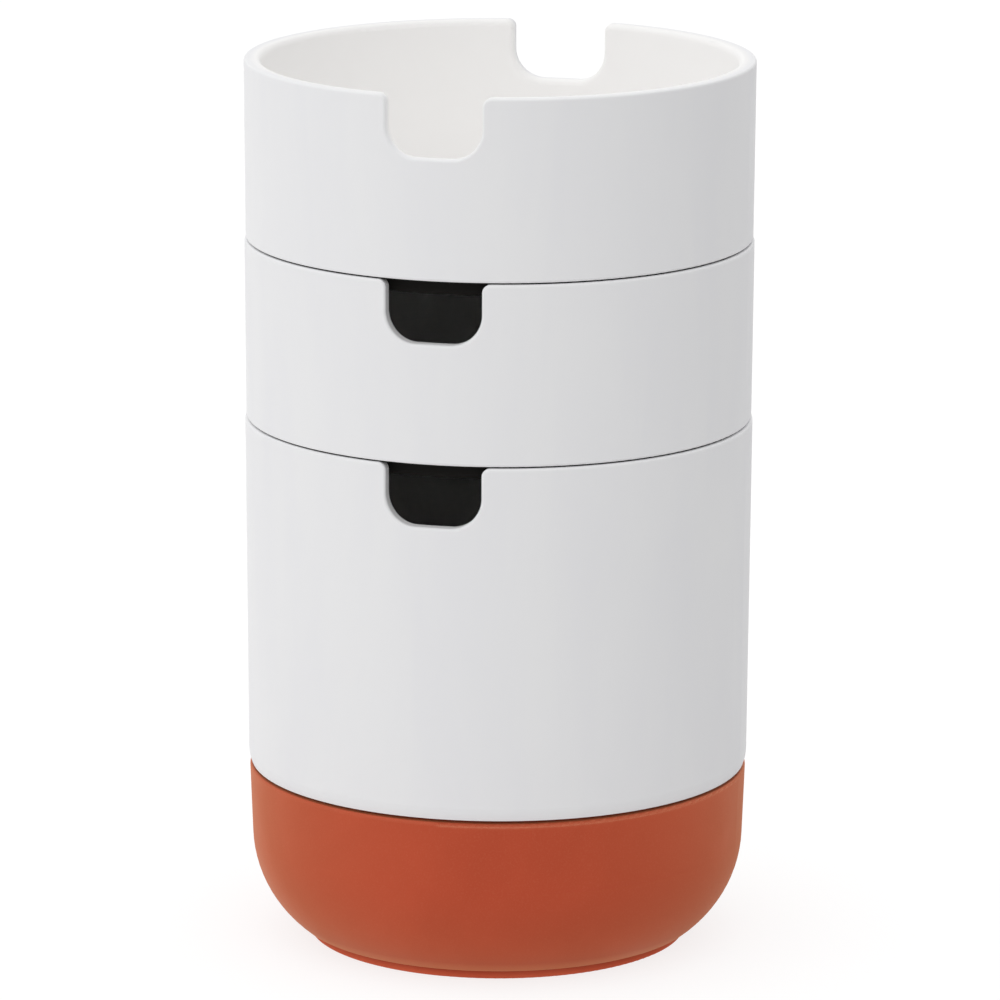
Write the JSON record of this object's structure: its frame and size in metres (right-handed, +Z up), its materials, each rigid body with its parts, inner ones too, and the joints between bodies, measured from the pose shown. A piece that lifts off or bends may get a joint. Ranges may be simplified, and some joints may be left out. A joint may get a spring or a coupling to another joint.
{
  "type": "stacking desk organizer",
  "caption": "Round stacking desk organizer: low white trays with finger notches on a tall white pen cup in a rounded terracotta base with a non-slip foot ring.",
  "frame": {"origin": "on the desk, in the middle of the foot ring, on the axis of the stack", "axes": "+Z up along the axis of the stack, finger notches facing -Y and +Y"},
  "size_m": [0.1, 0.0998, 0.176],
  "materials": {
    "white_abs": "satin white moulded ABS",
    "terracotta_soft_touch": "matt terracotta soft-touch moulding",
    "foot_rubber": "matt terracotta rubber",
    "black_rubber": "matt black rubber"
  },
  "bodies": {
    "base": {"foot_ring": "foot_rubber", "base_shell": "terracotta_soft_touch", "pen_cup": "white_abs"},
    "middle_boot": {"middle_tray_boot": "black_rubber"},
    "middle_tray": {"middle_tray": "white_abs"},
    "top_boot": {"top_tray_boot": "black_rubber"},
    "top_tray": {"top_tray": "white_abs"}
  },
  "joints": [
    {"name": "middle_lift", "type": "slide", "parent": "base", "child": "middle_boot", "axis": [0, 0, 1], "range_m": [0, 0.1]},
    {"name": "middle_turn", "type": "hinge", "parent": "middle_boot", "child": "middle_tray", "pos_m": [0, 0, 0.1051], "axis": [0, 0, 1], "continuous": true},
    {"name": "top_lift", "type": "slide", "parent": "middle_tray", "child": "top_boot", "axis": [0, 0, 1], "range_m": [0, 0.1]},
    {"name": "top_turn", "type": "hinge", "parent": "top_boot", "child": "top_tray", "pos_m": [0, 0, 0.1407], "axis": [0, 0, 1], "continuous": true}
  ]
}
